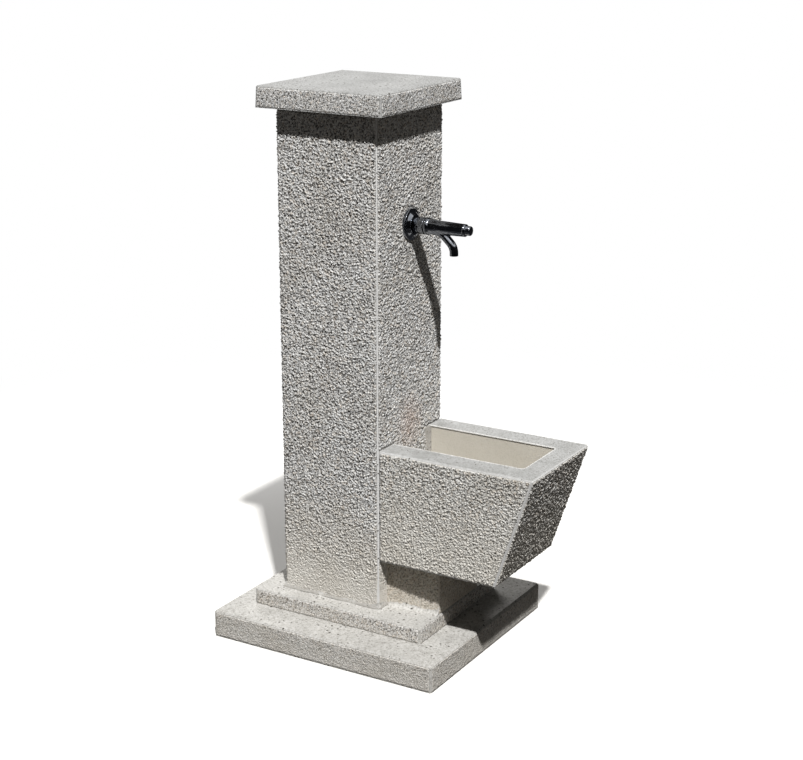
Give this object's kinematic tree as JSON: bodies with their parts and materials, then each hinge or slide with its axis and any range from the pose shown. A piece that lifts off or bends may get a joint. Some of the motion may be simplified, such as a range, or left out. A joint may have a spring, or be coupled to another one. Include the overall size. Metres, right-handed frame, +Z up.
{
  "type": "concrete fountain with tap",
  "caption": "Concrete garden fountain: capped square column on a stepped base, with a push tap over a tapered trough basin, and its supply and drain pipes inside.",
  "frame": {"origin": "centre of the base slab's underside, on the ground", "axes": "+Z up, the tap and the basin face -Y, +X to the right of somebody who faces the tap from the front"},
  "size_m": [0.415, 0.5927, 1],
  "materials": {
    "cast_concrete": "rough grained",
    "base_concrete": "smooth top, washed sides",
    "cap_concrete": "smooth top, washed sides",
    "mortar": "matt",
    "stainless_steel": "brushed",
    "chrome_plate": "polished",
    "brass": "machined",
    "copper": "drawn tube",
    "rubber": "matt",
    "drain_plastic": "matt",
    "spring_steel": "bright wire"
  },
  "bodies": {
    "fountain": {"base_slab": "base_concrete", "plinth_step": "base_concrete", "foot_mortar": "mortar", "column": "cast_concrete", "column_dowels": "stainless_steel", "cap_mortar": "mortar", "column_cap": "cap_concrete", "basin": "cast_concrete", "basin_dowels": "stainless_steel", "basin_mortar": "mortar", "basin_seal": "mortar", "waste_body": "stainless_steel", "strainer_grate": "stainless_steel", "strainer_screw": "stainless_steel", "waste_washer": "rubber", "waste_backnut": "drain_plastic", "waste_bend": "drain_plastic", "drain_elbow": "drain_plastic", "drain_pipe": "drain_plastic", "supply_riser": "copper", "inlet_coupling": "brass", "backplate_elbow": "brass", "compression_nut": "brass", "compression_olive": "brass", "elbow_screws": "stainless_steel", "pipe_clips": "drain_plastic", "clip_studs": "stainless_steel", "tap_extension": "brass", "wall_washer": "rubber", "wall_union": "chrome_plate", "union_washer": "rubber", "rosette": "chrome_plate", "tap_body": "chrome_plate", "button_ring": "chrome_plate", "stem_guide": "brass", "stem_o_ring": "rubber", "return_spring": "spring_steel"},
    "button": {"push_button": "chrome_plate", "valve_stem": "brass", "valve_washer": "rubber"}
  },
  "joints": [
    {"name": "button_press", "type": "slide", "parent": "fountain", "child": "button", "axis": [0, 1, 0], "range_m": [0, 0.006], "stiffness_N_per_m": 1500, "springref_m": -0.008, "deforming": ["return_spring"]}
  ]
}
